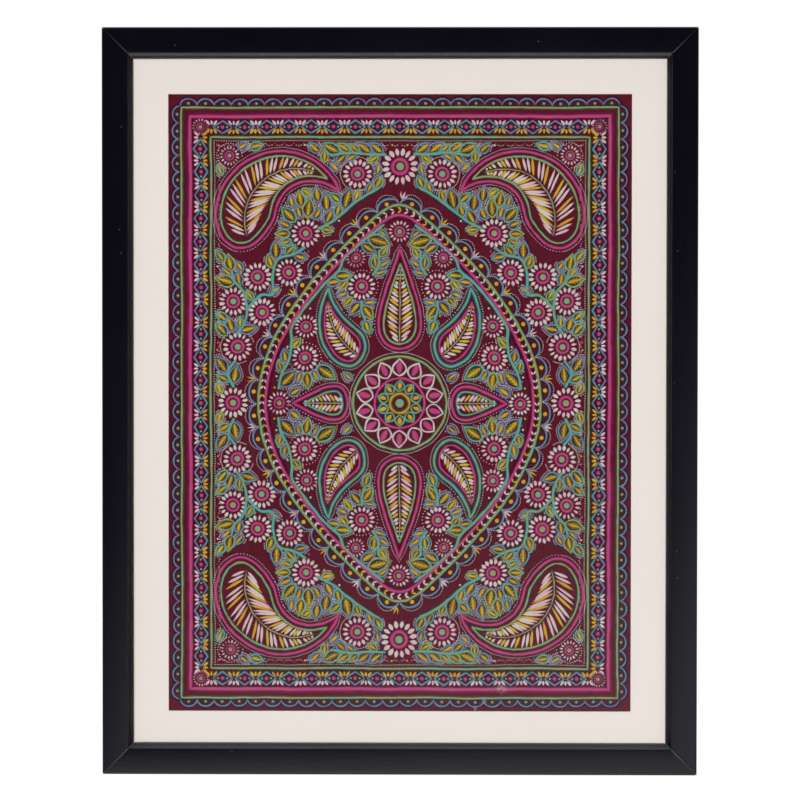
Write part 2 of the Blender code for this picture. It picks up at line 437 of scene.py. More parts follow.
def clothMaterial():
    graph = newGraph("burgundyWeave")
    spot = graph.place()
    sway = (graph.grain(spot, 70.0, 2.0) - 0.5) * 3.0
    pitch = math.pi / cloth["thread"]
    across = graph.axis(spot, "X") * pitch + sway
    up = graph.axis(spot, "Z") * pitch + sway
    warp, weft = graph.size(graph.wave(across)), graph.size(graph.wave(up))
    over = graph.step(graph.wave(across * 0.5) * graph.wave(up * 0.5), -0.15, 0.15)
    height = over * warp * (0.6 + weft * 0.4) + (1 - over) * weft * (0.6 + warp * 0.4)

    slubUp = graph.streaks(spot, (1.0, 1.0, 0.04), 900.0, 2.0)
    slubAcross = graph.streaks(spot, (0.04, 1.0, 1.0), 900.0, 2.0)
    cloudy = graph.grain(spot, 26.0, 3.0)
    threads = over * slubUp + (1 - over) * slubAcross
    colour = graph.blend(graph.step(threads, 0.35, 0.7) * 0.7, cloth["deep"], cloth["bright"])
    colour = graph.blend(0.35 + cloudy * 0.4, colour, cloth["burgundy"])
    # painted shade: the weave's low points between the threads are darkened
    colour = graph.blend((1 - graph.step(height, 0.1, 0.6)) * 0.5, colour, cloth["deep"])
    relief = graph.bump(height, 0.00016, 0.7)
    return graph.surface(colour, 0.88, relief, specular=0.08)


def makeCloth():
    choose()
    settings = {"x_subdivisions": cloth["columns"], "y_subdivisions": cloth["rows"], "size": 1.0}
    bpy.ops.mesh.primitive_grid_add(**settings)
    piece = bpy.context.object
    piece.name = piece.data.name = "woven_cloth"
    bpy.ops.object.mode_set(mode="EDIT")
    bpy.ops.transform.resize(value=(*clothFlat, 1.0))
    bpy.ops.object.mode_set(mode="OBJECT")
    for corner in piece.data.vertices:  # stood upright behind the mat
        x, z = corner.co.x, corner.co.y
        corner.co = (x, panels["clothFront"] + puckerAt(x, z), panels["middle"] + z)
    shell = piece.modifiers.new("shell", "SOLIDIFY")
    shell.thickness, shell.offset = cloth["sheet"], -1.0
    choose(piece)
    bpy.ops.object.modifier_apply(modifier=shell.name)
    bpy.ops.object.shade_smooth_by_angle(angle=math.radians(40))
    dress(piece, clothMaterial(), "burgundy_cloth")
    return piece


# Painted lines. They are drawn flat, in millimetres from the window's middle, X across and Z up,
# then made as low ridges on the cloth, one piece for each colour.

paints = {                      # a paint's tone, the tone of its patches, and its thin edge
    "pink": ((0.480, 0.048, 0.195), (0.450, 0.070, 0.165), (0.150, 0.003, 0.040)),
    "green": ((0.275, 0.300, 0.140), (0.185, 0.350, 0.200), (0.088, 0.046, 0.018)),
    "turquoise": ((0.120, 0.335, 0.320), (0.170, 0.320, 0.200), (0.050, 0.062, 0.056)),
    "blue": ((0.168, 0.185, 0.315), (0.120, 0.250, 0.330), (0.066, 0.018, 0.056)),
    "yellow": ((0.610, 0.400, 0.020), (0.600, 0.300, 0.024), (0.165, 0.105, 0.020)),
    "white": ((0.670, 0.560, 0.540), (0.680, 0.450, 0.490), (0.180, 0.052, 0.072)),
}
hand = {
    "shake": 0.60,              # how far the drawn line strays, and over what distance
    "shakeLength": 36.0,
    "tremor": 0.30,
    "tremorLength": 6.5,
    "swell": 0.28,              # how much its width varies
    "swellLength": 4.5,
    "taper": 0.6,               # its share of the width at both ends
    "spacing": 1.6,             # between the points of a drawn line
    "beadPitch": 1.5,           # rows of small white dots
    "bead": 0.95,
    "sunk": 0.0003,             # how deep a ridge's back lies in the cloth, in metres
    "seed": 7,
}
noise.seed_set(hand["seed"])    # without it, the lines stray differently in each run
rises = {"line": 0.58, "fill": 0.34, "halo": 0.07}   # how high strokes stand, in half widths
strokes = {colour: {rise: [] for rise in rises} for colour in paints}
drops = {colour: [] for colour in paints}
pen = {"flipX": 1, "flipZ": 1}
taken = []                      # circles that hold something already, in the quarter that is planned


def shaken(x, z):
    x, z = pen["flipX"] * x, pen["flipZ"] * z
    drift = noise.noise_vector(Vector((x, 9.0, z)) / hand["shakeLength"]) * hand["shake"]
    drift += noise.noise_vector(Vector((x, 3.0, z)) / hand["tremorLength"]) * hand["tremor"]
    return x + drift.x, z + drift.z


def evenly(points, spacing, closed):  # the same line with its points about this far apart
    chain = points + points[:1] if closed else points
    spaced = [chain[0]]
    for (x0, z0), (x1, z1) in zip(chain, chain[1:]):
        parts = max(1, round(math.dist((x0, z0), (x1, z1)) / spacing))
        for k in range(1, parts + 1):
            spaced.append((x0 + (x1 - x0) * k / parts, z0 + (z1 - z0) * k / parts))
    return spaced[:-1] if closed else spaced


def line(colour, points, width, closed=False, halo=0.0, spacing=None):
    drawn = [shaken(x, z) for x, z in evenly(points, spacing or hand["spacing"], closed)]
    profile = [1.0] * len(drawn)
    if not closed:
        profile[0] = profile[-1] = hand["taper"]
    strokes[colour]["line"].append((drawn, [width / 2 * share for share in profile], closed))
    if halo:
        strokes[colour]["halo"].append((drawn, [(width + halo) / 2] * len(drawn), closed))


def lens(colour, start, end, width, rise="line", steps=4):  # a stroke that is fullest in its middle
    (x0, z0), (x1, z1) = start, end
    drawn, radii = [], []
    for k in range(steps + 1):
        share = k / steps
        drawn.append(shaken(x0 + (x1 - x0) * share, z0 + (z1 - z0) * share))
        radii.append(width / 2 * math.sin(math.pi * (0.12 + 0.76 * share)))
    strokes[colour][rise].append((drawn, radii, False))


def dot(colour, x, z, width):
    drops[colour].append((*shaken(x, z), width))


def beaded(points, closed=False, pitch=hand["beadPitch"], width=hand["bead"]):
    for x, z in evenly(points, pitch, closed):
        dot("white", x, z, width)


def mirrored(draw):  # the same motifs in each quarter
    for pen["flipX"] in (1, -1):
        for pen["flipZ"] in (1, -1):
            draw()
    pen["flipX"] = pen["flipZ"] = 1


def atSpot(x, z, heading):  # turns a place in a motif's own axes into one on the cloth
    turn = math.radians(heading)
    along = (math.cos(turn), math.sin(turn))
    return lambda a, s=0.0: (x + along[0] * a - along[1] * s, z + along[1] * a + along[0] * s)


def headingOf(start, end):
    return math.degrees(math.atan2(end[1] - start[1], end[0] - start[0]))


def ring(radius, steps, x=0.0, z=0.0):
    turns = [2 * math.pi * k / steps for k in range(steps)]
    return [(x + radius * math.cos(t), z + radius * math.sin(t)) for t in turns]


def arch(width, height, steps):  # half an oval, as distances along and aside
    turns = [math.pi * k / steps for k in range(steps + 1)]
    return [(width * (0.5 - 0.5 * math.cos(t)), height * math.sin(t)) for t in turns]


def aside(points, distance):  # the closed line moved to its left, or to its right if negative
    moved = []
    for k, (x, z) in enumerate(points):
        before, after = points[k - 1], points[(k + 1) % len(points)]
        reach = math.dist(before, after) or 1.0
        moved.append((x - (after[1] - before[1]) / reach * distance,
                      z + (after[0] - before[0]) / reach * distance))
    return moved


def smooth(points, steps=8):  # a rounded line through these points
    ends = points[:1] + points + points[-1:]
    curve = []
    for a, b, c, d in zip(ends, ends[1:], ends[2:], ends[3:]):
        for t in (k / steps for k in range(steps)):
            weights = (2 * t * t - t - t ** 3, 3 * t ** 3 - 5 * t * t + 2,
                       t + 4 * t * t - 3 * t ** 3, t ** 3 - t * t)
            rows = list(zip(weights, (a, b, c, d)))
            curve.append(tuple(sum(w * p[i] for w, p in rows) / 2 for i in (0, 1)))
    return curve + points[-1:]


# Motifs

leaf = {
    "edge": 1.55,
    "halo": 1.5,
    "fill": 0.70,
    "rib": 1.6,
    "veins": (0.17, 0.25, 0.23, 0.15),  # how far each pair reaches, in widths
    "room": ((0.36, 0.44), (0.64, 0.36), (0.88, 0.12)),     # circles that stand for it in the plan
    "clear": 1.4,
}
flower = {"petals": 16, "petal": 0.29, "from": 0.60, "to": 1.06, "ring": 0.21, "halo": 0.40,
          "eye": 0.48}


def leafOutline(spot, length, width, steps=8):
    sides = {1: [], -1: []}
    for side in sides:
        for k in range(steps + 1):
            half = width / 2 * math.sin(math.pi * (k / steps) ** 0.8)
            sides[side].append(spot(length * k / steps, side * half))
    return sides[1] + sides[-1][-2:0:-1]


def drawLeaf(x, z, heading, length, width, edge, fill="yellow"):
    spot = atSpot(x, z, heading)
    line(edge, leafOutline(spot, length, width), leaf["edge"], closed=True, halo=leaf["halo"])
    lens(fill, spot(length * 0.06), spot(length * 0.95), width * leaf["fill"], "halo", 6)
    line(fill, [spot(length * 0.14), spot(length * 0.86)], leaf["rib"], spacing=3.0)
    for k, vein in enumerate(leaf["veins"]):
        start = length * (0.15 + 0.15 * k)
        for side in (1, -1):
            end = spot(start + length * 0.17, side * width * vein)
            line(fill, [spot(start), end], leaf["rib"], spacing=3.0)


def leafCircles(x, z, heading, length, width):
    spot = atSpot(x, z, heading)
    return [(*spot(length * share), width * reach) for share, reach in leaf["room"]]


def drawFlower(x, z, radius):
    line("pink", ring(radius * 0.42, 18, x, z), radius * flower["ring"], closed=True,
         halo=radius * flower["halo"], spacing=1.1)
    dot("green", x, z, radius * flower["eye"])
    for k in range(flower["petals"]):
        spot = atSpot(x, z, 360 * (k + 0.5) / flower["petals"])
        start, end = spot(radius * flower["from"]), spot(radius * flower["to"])
        lens("white", start, end, radius * flower["petal"], "fill", 5)
        lens("pink", spot(radius * 0.66), spot(radius * 0.86), 0.8, steps=2)


def drawBud(x, z, heading, size, colour):  # three short strokes that open outwards
    spot = atSpot(x, z, heading)
    lens(colour, spot(0), spot(size), 1.5)
    for side in (1, -1):
        line(colour, [spot(size * 0.10), spot(size * 0.50, side * size * 0.34),
                      spot(size * 0.85, side * size * 0.42)], 1.2, spacing=2.0)


# Border

field = {"halfWidth": 121.4, "halfHeight": 172.2}   # what lies inside the border
border = {
    "guards": [                 # inset, width and halo of each plain line
        ("green", 8.5, 1.6, 2.4), ("pink", 14.4, 2.6, 4.6), ("green", 28.0, 1.6, 2.2),
    ],
    "scallop": 11.0,
    "scallopInset": 7.6,
    "scallopHeight": 4.8,
    "halo": 1.9,
    "chainInset": 21.3,
    "lozengeLength": 15.0,
    "lozengeHalf": 4.3,
    "gap": 7.0,                 # left at each corner for a flower
    "cornerFlower": 5.6,
    "beadInset": 30.4,          # a straight row of white dots, and a scalloped one inside it
    "beadArcInset": 32.2,
    "beadArc": 6.4,
}


def frameLine(inset):
    x, z = 500 * panels["windowWidth"] - inset, 500 * panels["windowHeight"] - inset
    return [(-x, -z), (x, -z), (x, z), (-x, z)]


def sidesOf(inset):  # each side's start, heading and length; the inside lies to the left
    corners = frameLine(inset)
    for k, heading in enumerate((0, 90, 180, 270)):
        yield corners[k], heading, math.dist(corners[k], corners[(k + 1) % 4])


def drawScallops():
    for start, heading, length in sidesOf(border["scallopInset"]):
        pitch = length / round(length / border["scallop"])
        spot = atSpot(*start, heading)
        for k in range(round(length / pitch)):
            arc = [spot(pitch * k + a, -s) for a, s in arch(pitch, border["scallopHeight"], 7)]
            line("blue", arc, 1.3, halo=border["halo"])
            dot("turquoise", *spot(pitch * (k + 0.5), -1.6), 2.0)


def drawLozenge(spot, middle, half, height):
    corners = [spot(middle - half), spot(middle, -height), spot(middle + half), spot(middle, height)]
    line("blue", corners, 1.4, closed=True, halo=border["halo"])
    dot("pink", *spot(middle), 2.6)
    for side in (1, -1):
        dot("green", *spot(middle + side * half * 0.46), 1.5)


def drawChain():
    for start, heading, length in sidesOf(border["chainInset"]):
        spot = atSpot(*start, heading)
        room = length - 2 * border["gap"]
        count = round(room / border["lozengeLength"])
        pitch = room / count
        for k in range(count):
            drawLozenge(spot, border["gap"] + pitch * (k + 0.5), pitch * 0.44, border["lozengeHalf"])
        for k in range(count + 1):
            notch = border["gap"] + pitch * k
            for colour, side in (("white", -1), ("yellow", 1)):
                reach = border["lozengeHalf"] * side
                for slant in (-1, 0, 1):
                    start = spot(notch + slant * 1.1, reach * 0.28)
                    lens(colour, start, spot(notch + slant * 3.7, reach * 1.04), 2.0)


def drawBorder():
    drawScallops()
    for colour, inset, width, halo in border["guards"]:
        line(colour, frameLine(inset), width, closed=True, halo=halo, spacing=4.0)
    drawChain()
    for x, z in frameLine(border["chainInset"]):
        drawFlower(x, z, border["cornerFlower"])
    beaded(frameLine(border["beadInset"]), closed=True, pitch=1.6, width=1.0)
    for start, heading, length in sidesOf(border["beadArcInset"]):
        spot = atSpot(*start, heading)
        count = round(length / border["beadArc"])
        for k in range(count):
            beaded([spot(length * (k + t / 4) / count, 1.6 * math.sin(math.pi * t / 4))
                    for t in range(5)])


# Drops and paisleys, each on a spine that bends, from its round end to its tip. The solids have
# the same ones.

paisleys = {
    "tall": {"x": 0.0, "z": 36.0, "heading": 90, "length": 66.0, "half": 14.0, "bend": 0},
    "side": {"x": 34.5, "z": 0.0, "heading": 0, "length": 36.0, "half": 11.0, "bend": 0},
    "slanted": {"x": 25.0, "z": 30.0, "heading": 30, "length": 54.0, "half": 12.5, "bend": 70},
    "corner": {"x": 98.0, "z": 104.0, "heading": 62, "length": 104.0, "half": 19.5, "bend": 175},
}
spineSteps = 80


def spineOf(row):
    spot, spine = Vector((row["x"], row["z"])), []
    for k in range(spineSteps + 1):
        turn = math.radians(row["heading"] + row["bend"] * k / spineSteps)
        along = Vector((math.cos(turn), math.sin(turn)))
        spine.append((spot.copy(), along))
        spot += along * row["length"] / spineSteps
    return spine


def reachAt(row, share):  # half its width at this share of its length
    return row["half"] * math.sin(math.pi * math.sqrt(share))


def paisleyOutline(row, inset=0.0, steps=34):
    spine, left, right = spineOf(row), [], []
    for k in range(steps + 1):
        share = (k / steps) ** 2
        whole = int(share * spineSteps)
        spot, along = spine[whole]
        spot = spot + along * (share * spineSteps - whole) * row["length"] / spineSteps
        side = Vector((-along.y, along.x)) * reachAt(row, share)
        left.append(tuple(spot + side))
        right.append(tuple(spot - side))
    outline = left + right[-2:0:-1]
    if not inset:
        return outline
    dense = evenly(outline, 1.0, True)
    return [p for p in aside(dense, -inset) if min(math.dist(p, q) for q in dense) > inset * 0.97]


def drawFishbone(row, first, last, inset, ribs, colours):  # slanted strokes on both sides of the spine
    spine = spineOf(row)
    shares = [first + (last - first) * k / 10 for k in range(11)]
    line("green", [tuple(spine[round(share * spineSteps)][0]) for share in shares], 1.2)
    for k in range(ribs):
        share = first + (last - first) * (k + 0.3) / ribs
        spot, along = spine[round(share * spineSteps)]
        reach = max(1.5, reachAt(row, share) - inset)
        across = Vector((-along.y, along.x))
        for side in (1, -1):
            start = spot + across * side * 1.0
            end = spot + across * side * reach * 0.94 + along * reach * 0.62
            lens(colours[k % len(colours)], tuple(start), tuple(end), 2.2)


def drawPaisley(row, outer, inner, ribs, colours):
    line(outer, paisleyOutline(row), 1.8, closed=True, halo=3.4)
    line(inner, paisleyOutline(row, 3.3), 1.5, closed=True, halo=1.8)
    drawFishbone(row, 0.06, 0.80, 4.9, ribs, colours)
    beaded(aside(paisleyOutline(row), 2.4), closed=True)


def paisleyCircles(row):
    spine = spineOf(row)
    for k in range(0, spineSteps, 4):
        yield spine[k][0].x, spine[k][0].y, reachAt(row, k / spineSteps) + 3.0


# Medallion

medallion = {
    "halfWidth": 93.0,
    "halfHeight": 131.0,
    "pinch": 0.58,
    "innerScale": 0.950,
    "scallops": 44,
    "scallopHeight": 6.0,
    "chevrons": 132,
}
core = {
    "rings": [("green", 31.0, 1.7), ("pink", 16.5, 1.7), ("yellow", 6.5, 1.6)],
    "petals": (14, 18.2, 29.4),         # how many, and from what radius to what other
    "innerPetals": (10, 8.0, 15.2),
    "beads": 33.4,
    "room": 34.6,
}


def medallionAt(turn, scale):
    pinch = 1 - medallion["pinch"] * math.cos(turn) ** 2
    return (scale * medallion["halfWidth"] * math.sin(turn) * pinch,
            scale * medallion["halfHeight"] * math.cos(turn))


def medallionPoints(count, scale=1.0):  # points that lie evenly along the outline, clockwise
    fine = [medallionAt(2 * math.pi * k / 900, scale) for k in range(901)]
    reach = [0.0]
    for before, after in zip(fine, fine[1:]):
        reach.append(reach[-1] + math.dist(before, after))
    points, k = [], 0
    for step in range(count):
        while reach[k + 1] < reach[-1] * step / count:
            k += 1
        points.append(fine[k])
    return points


def drawMedallionEdge():
    scale = medallion["innerScale"]
    line("green", medallionPoints(170), 1.9, closed=True, halo=2.4)
    line("pink", medallionPoints(160, scale), 1.9, closed=True, halo=3.4)
    middles = medallionPoints(medallion["chevrons"], (1 + scale) / 2)
    for k, here in enumerate(middles):
        spot = atSpot(*here, headingOf(middles[k - 1], middles[(k + 1) % len(middles)]))
        for side in (1, -1):
            lens("white" if k % 4 else "yellow", spot(1.3), spot(-1.3, side * 2.1), 1.6)


def drawScallopEdge():
    turns = medallionPoints(medallion["scallops"])
    for k, here in enumerate(turns):
        there = turns[(k + 1) % len(turns)]
        width, spot = math.dist(here, there), atSpot(*here, headingOf(here, there))
        arc = arch(width, medallion["scallopHeight"], 8)
        line("blue", [spot(a, s + 0.9) for a, s in arc], 1.5, halo=1.9)
        beaded([spot(a, s * 1.25 + 2.0) for a, s in arc])
        dot("yellow", *spot(width * 0.5, 3.7), 3.0)
        if k % 2 == 0:
            colour = ("white", "yellow")[k // 2 % 2]
            drawBud(*spot(0.0, 3.2), headingOf(here, there) + 90, 6.0, colour)


def drawPetalRing(count, inner, outer, edge, fill):
    for k in range(count):
        turn = 360 * (k + 0.5) / count
        start, reach = atSpot(0.0, 0.0, turn)(inner), outer - inner
        width = 2 * math.pi * (inner + outer) / 2 / count * 0.86
        spot = atSpot(*start, turn)
        line(edge, leafOutline(spot, reach, width, 12), 1.4, closed=True, halo=1.4)
        lens(fill, spot(reach * 0.16), spot(reach * 0.86), width * 0.52, "fill")


def drawCore():
    for colour, radius, width in core["rings"]:
        line(colour, ring(radius, 60), width, closed=True, halo=2.6)
    dot("green", 0.0, 0.0, 6.0)
    drawPetalRing(*core["innerPetals"], "turquoise", "yellow")
    drawPetalRing(*core["petals"], "white", "pink")
    beaded(ring(core["beads"], 90), closed=True)


def drawMedallion():
    drawMedallionEdge()
    drawScallopEdge()
    drawCore()


# Foliage. One quarter is planned first, so that all four come out alike.

foliage = {
    "flowers": [
        (0.0, 113.5, 7.2), (79.4, 0.0, 7.4), (25.0, 77.0, 8.6), (62.5, 30.0, 8.6),
        (61.5, 51.0, 7.6), (29.0, 95.5, 6.4), (109.6, 0.0, 9.6), (107.0, 37.0, 9.2),
        (91.0, 60.0, 9.0), (110.0, 67.0, 9.0), (94.0, 83.0, 9.2), (73.0, 86.0, 8.8),
        (62.0, 112.0, 9.2), (0.0, 156.0, 11.6), (28.0, 151.0, 9.4), (112.0, 163.0, 6.4),
    ],
    "vines": [
        [(80, 9), (78, 19), (73, 29), (71, 41), (71, 50), (64, 61), (57, 70), (49, 79), (40, 87),
         (36, 96), (24, 107), (10, 118)],
        [(25, 68), (25, 62), (23, 55)],
        [(18, 84), (14, 91), (14, 101)],
        [(109, 10), (113, 20), (108, 28)],
        [(108, 45), (103, 52), (101, 62), (103, 73), (109, 80), (111, 87)],
        [(101, 62), (92, 71), (84, 72), (84, 84), (80, 95), (70, 98), (62, 103)],
        [(54, 115), (44, 120), (33, 129), (22, 137), (13, 142)],
        [(9, 164), (20, 164), (33, 165), (46, 163)],
    ],
    "stem": 2.1,
    "leaf": 15.2,
    "slim": 0.57,
    "sizes": (1.0, 0.87, 0.76, 0.65, 0.55),
    "leans": (36, 54, 74),
    "edges": ("blue", "turquoise", "blue", "green"),
    "buds": ("yellow", "white", "pink"),
    "bud": 2.7,                 # the room that a bud or a seed takes, and what is left round it
    "budGap": 0.7,
    "seed": 1.1,
    "seedGap": 1.2,
    "grids": {"leaves": 3.0, "buds": 2.0, "seeds": 2.5},
}
plan = {"stems": [], "leaves": [], "dots": [], "buds": [], "seeds": []}
stems = []                      # points along every vine, with the vine's number and their place on it


def isFree(circles, gap, vine=-1, index=0):
    for x, z, r in circles:
        if not (r + 0.6 < x < field["halfWidth"] - r and r + 0.6 < z < field["halfHeight"] - r):
            return False
        if any(math.dist((x, z), (a, b)) < r + c + gap for a, b, c in taken):
            return False
        for a, b, other, place in stems:
            if (other != vine or abs(place - index) > 7) and math.dist((x, z), (a, b)) < r + 1.2:
                return False
    return True


def planLeaf(x, z, heading, sizes, gap=0.15, vine=-1, index=0):
    for size in sizes:
        length = foliage["leaf"] * size
        row = (x, z, heading, length, length * foliage["slim"])
        circles = leafCircles(*row)
        if isFree(circles, gap, vine, index):
            taken.extend(circles)
            plan["leaves"].append(row)
            return True
    return False


def planVine(number, curve):
    for tip, inner, index in ((-1, -4, len(curve)), (0, 3, 0)):
        heading = headingOf(curve[inner], curve[tip])
        planLeaf(*curve[tip], heading, foliage["sizes"], 0.1, number, index)
    free = {1: 2.0, -1: 4.5}    # how far along each side is filled already
    for k in range(1, len(curve) - 1):
        heading = headingOf(curve[k - 1], curve[k + 1])
        for side in (1, -1):
            if k < free[side]:
                continue
            x, z = atSpot(*curve[k], heading + side * 90)(0.8)
            for lean in foliage["leans"]:
                if planLeaf(x, z, heading + side * lean, foliage["sizes"], vine=number, index=k):
                    free[side] = k + 5
                    break


def planSpots(kind):  # a grid of places that starts at the medallion's middle
    step = foliage["grids"][kind]
    for row in range(1, round(field["halfHeight"] / step)):
        for column in range(1, round(field["halfWidth"] / step)):
            yield column * step + (row % 2) * step / 2, row * step


def planDots(points, least=0.0):  # kept where they don't run into a motif
    kept = [(x, z) for x, z in points if x > 0.3 and z > 0.3 and isFree([(x, z, 0.35)], 0.25)]
    if len(kept) > least * len(points):
        plan["dots"].extend(kept)


def planQuarter():  # first what the medallion and the paisleys take up
    taken.extend((x, z, 2.6) for x, z in medallionPoints(360, medallion["innerScale"]))
    taken.extend((x, z, 6.2) for x, z in aside(medallionPoints(240), 5.0))
    taken.append((0.0, 0.0, core["room"]))
    for row in paisleys.values():
        taken.extend(paisleyCircles(row))
    taken.extend((x, z, radius * 1.04) for x, z, radius in foliage["flowers"])
    for number, points in enumerate(foliage["vines"]):
        curve = evenly(smooth(points), 1.0, False)
        plan["stems"].append(curve)
        stems.extend((x, z, number, k) for k, (x, z) in enumerate(curve))
    for number, curve in enumerate(plan["stems"]):
        planVine(number, curve)
    for x, z, radius in foliage["flowers"]:  # a collar of leaves on each flower
        for turn in range(0, 360, 24):
            planLeaf(*atSpot(x, z, turn)(radius * 1.04 + 0.6), turn, foliage["sizes"], 0.1)
    for x, z in planSpots("leaves"):
        flow = headingOf((0, 0), (x, z)) + 60
        for turn in (0, 45, -45, 90, -90, 180):
            if planLeaf(x, z, flow + turn, foliage["sizes"][1:]):
                break
    for x, z, heading, length, width in plan["leaves"]:
        outline = leafOutline(atSpot(x, z, heading), length, width, 12)
        planDots(evenly(aside(outline, leaf["clear"]), hand["beadPitch"], True))
    for x, z, radius in foliage["flowers"]:
        planDots(evenly(ring(radius + 1.9, 30, x, z), hand["beadPitch"], True), 0.55)
    for x, z in planSpots("buds"):
        if isFree([(x, z, foliage["bud"])], foliage["budGap"]):
            taken.append((x, z, foliage["bud"]))
            outward = headingOf((0, 0), (x, z))
            plan["buds"].append((*atSpot(x, z, outward)(-2.6), outward))
    for x, z in planSpots("seeds"):
        if isFree([(x, z, foliage["seed"])], foliage["seedGap"]):
            taken.append((x, z, foliage["seed"]))
            plan["seeds"].append((x, z))


def drawQuarter():
    rightHalf, topHalf = pen["flipX"] == 1, pen["flipZ"] == 1
    looks = {
        "tall": ("pink", "green", 17), "side": ("pink", "turquoise", 10),
        "slanted": ("turquoise", "pink", 15), "corner": ("pink", "green", 25),
    }
    for name, (outer, inner, ribs) in looks.items():
        if (name != "tall" or rightHalf) and (name != "side" or topHalf):
            drawPaisley(paisleys[name], outer, inner, ribs, ("white", "white", "yellow"))
    for x, z, radius in foliage["flowers"]:
        if (x > 0 or rightHalf) and (z > 0 or topHalf):
            drawFlower(x, z, radius)
    for curve in plan["stems"]:
        line("turquoise", curve, foliage["stem"], halo=1.8)
    for k, row in enumerate(plan["leaves"]):
        drawLeaf(*row, foliage["edges"][k % len(foliage["edges"])])
    for x, z in plan["dots"]:
        dot("white", x, z, hand["bead"])
    for k, (x, z, heading) in enumerate(plan["buds"]):
        drawBud(x, z, heading, 5.4, foliage["buds"][k % len(foliage["buds"])])
    for k, (x, z) in enumerate(plan["seeds"]):
        dot(foliage["buds"][k % len(foliage["buds"])], x, z, 1.5)


# Ridges of paint

def paintMaterial(name, core, other, edge):
    graph = newGraph(name + "Paint")
    spot = graph.place()
    crest = graph.step(panels["clothFront"] - graph.axis(spot, "Y"), 0.00018, 0.00030)
    fleck = graph.grain(spot, 500.0, 3.0, 0.6)
    patch = graph.grain(spot, 55.0, 2.0)
    colour = graph.blend(graph.step(patch, 0.38, 0.62), core, other)
    colour = graph.blend(graph.step(fleck, 0.50, 0.85) * 0.45, colour, tuple(v * 0.45 for v in core))
    colour = graph.blend(crest, edge, colour)
    relief = graph.bump(fleck, 0.00010, 0.5)
    return graph.surface(colour, 0.42 + fleck * 0.2, relief)


def ridgeMesh(name, rows, sides, rise):  # one mesh of all these strokes, as flattened tubes
    curve = bpy.data.curves.new(name, "CURVE")
    curve.dimensions = "3D"
    curve.bevel_depth = 0.001
    curve.bevel_resolution = sides
    curve.use_fill_caps = True
    for points, radii, closed in rows:
        spline = curve.splines.new("POLY")
        spline.points.add(len(points) - 1)
        for point, (x, z), radius in zip(spline.points, points, radii):
            swell = 1 + hand["swell"] * noise.noise(Vector((x, 5.0, z)) / hand["swellLength"])
            point.co = (x / 1000, puckerAt(x / 1000, z / 1000) / rise, z / 1000, 1.0)
            point.radius = radius * swell
        spline.use_cyclic_u = closed
    piece = newObject(name, curve)
    piece.location = (0.0, panels["clothFront"], panels["windowMiddle"])
    piece.scale = (1.0, rise, 1.0)
    choose(piece)
    bpy.ops.object.convert(target="MESH")
    bpy.ops.object.transform_apply(location=True, rotation=False, scale=True)
    bpy.ops.object.shade_smooth()
    piece = bpy.context.object
    for corner in piece.data.vertices:
        corner.co.y = min(corner.co.y, panels["clothFront"] + hand["sunk"])
    return piece


def dotMesh(name, rows):  # small blobs, rounder where they are large
    places, faces = [], []
    low = panels["windowMiddle"]
    for x, z, width in rows:
        sides = 4 if width < 1.4 else 8
        depth = panels["clothFront"] + puckerAt(x / 1000, z / 1000)
        tall = 0.00026 + min(width, 3.0) * 0.00010
        levels = [(0.5, depth + hand["sunk"] / 2), (0.5, depth - tall * 0.5), (0.36, depth - tall)]
        levels = levels if sides == 8 else [levels[0], (0.44, depth - tall)]
        first = len(places)
        for share, y in levels:
            for k in range(sides):
                turn = 2 * math.pi * (k + 0.5) / sides
                reach = share * width / 1000
                across, up = reach * math.cos(turn), reach * math.sin(turn)
                places.append((x / 1000 + across, y, low + z / 1000 + up))
        faces.append(tuple(range(first, first + sides)))
        faces.append(tuple(reversed(range(len(places) - sides, len(places)))))
        for start in range(first, len(places) - sides, sides):
            for k in range(sides):
                a, b = start + k, start + (k + 1) % sides
                faces.append((a, a + sides, b + sides, b))
    mesh = bpy.data.meshes.new(name)
    mesh.from_pydata(places, [], faces)
    mesh.shade_smooth()
    return newObject(name, mesh)


def haloMaterial(name, edge):  # cloth that the oil has darkened beside the line
    graph = newGraph(name + "Halo")
    fleck = graph.grain(graph.place(), 500.0, 3.0, 0.6)
    colour = graph.blend(graph.step(fleck, 0.50, 0.85) * 0.30, edge, tuple(v * 0.6 for v in edge))
    return graph.surface(colour, 0.5 + fleck * 0.2)


def makePaint():
    made = []
    for colour, look in paints.items():
        ridges = [ridgeMesh(colour + kind, strokes[colour][kind], 1, rises[kind])
                  for kind in ("line", "fill") if strokes[colour][kind]]
        paint = paintMaterial(colour, *look)
        rows = [(joined(ridges, colour + "_paint"), paint, colour + "_paint")]
        if drops[colour]:
            rows.append((dotMesh(colour + "_dots", drops[colour]), paint, colour + "_paint"))
        if strokes[colour]["halo"]:
            halo = ridgeMesh(colour + "_halo", strokes[colour]["halo"], 0, rises["halo"])
            rows.append((halo, haloMaterial(colour, look[2]), "oil_halo"))
        for piece, material, slotName in rows:
            dress(piece, material, slotName)
            made.append(piece)
            triangles = sum(len(face.vertices) - 2 for face in piece.data.polygons)
            print("painted", piece.name, triangles, "triangles")
    return made


# Studio

